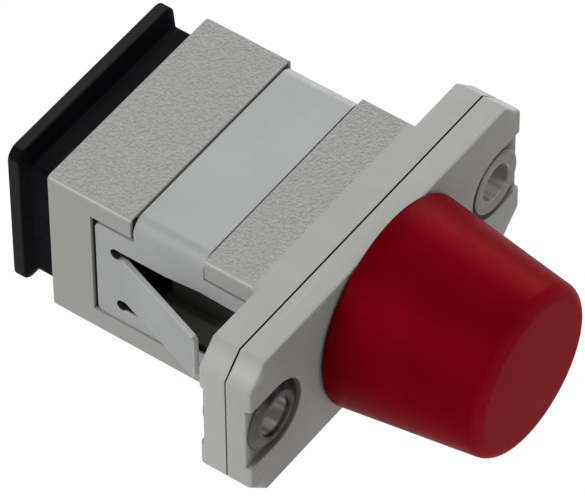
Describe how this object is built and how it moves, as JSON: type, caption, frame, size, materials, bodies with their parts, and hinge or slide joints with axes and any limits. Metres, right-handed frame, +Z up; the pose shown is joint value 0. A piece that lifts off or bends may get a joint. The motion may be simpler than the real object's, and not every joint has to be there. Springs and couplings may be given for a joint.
{
  "type": "hybrid fibre adapter",
  "caption": "Flanged panel adapter that joins a square push-pull fibre plug to a round threaded one, with a sprung sheet-metal clip and pull-off dust caps on both ports.",
  "frame": {"origin": "on the optical axis, in the flange's rear face, which lies on the panel", "axes": "+X along the flange, +Y along the optical axis towards the square port, +Z up; the round threaded side points to -Y"},
  "size_m": [0.022, 0.0261, 0.0112],
  "materials": {
    "grey_plastic": "light warm grey moulded plastic, spark-eroded on the wide faces",
    "eyelet_metal": "plain rolled metal",
    "clip_steel": "matte spring steel sheet",
    "insert_plastic": "black moulded plastic",
    "sleeve_ceramic": "polished white zirconia",
    "nickel_brass": "nickel-plated turned brass",
    "black_plastic": "black satin moulded plastic",
    "red_vinyl": "deep red soft vinyl, satin"
  },
  "bodies": {
    "adapter": {"rear_housing": "grey_plastic", "front_flange": "grey_plastic", "flange_eyelets": "eyelet_metal", "panel_clip": "clip_steel", "latch_insert": "insert_plastic", "split_sleeve": "sleeve_ceramic", "sleeve_holder": "nickel_brass", "threaded_barrel": "nickel_brass"},
    "square_cap": {"square_dust_cap": "black_plastic"},
    "round_cap": {"round_dust_cap": "red_vinyl"}
  },
  "joints": [
    {"name": "square_cap_pull", "type": "slide", "parent": "adapter", "child": "square_cap", "axis": [0, 1, 0], "range_m": [0, 0.01]},
    {"name": "round_cap_pull", "type": "slide", "parent": "adapter", "child": "round_cap", "axis": [0, -1, 0], "range_m": [0, 0.01]}
  ]
}
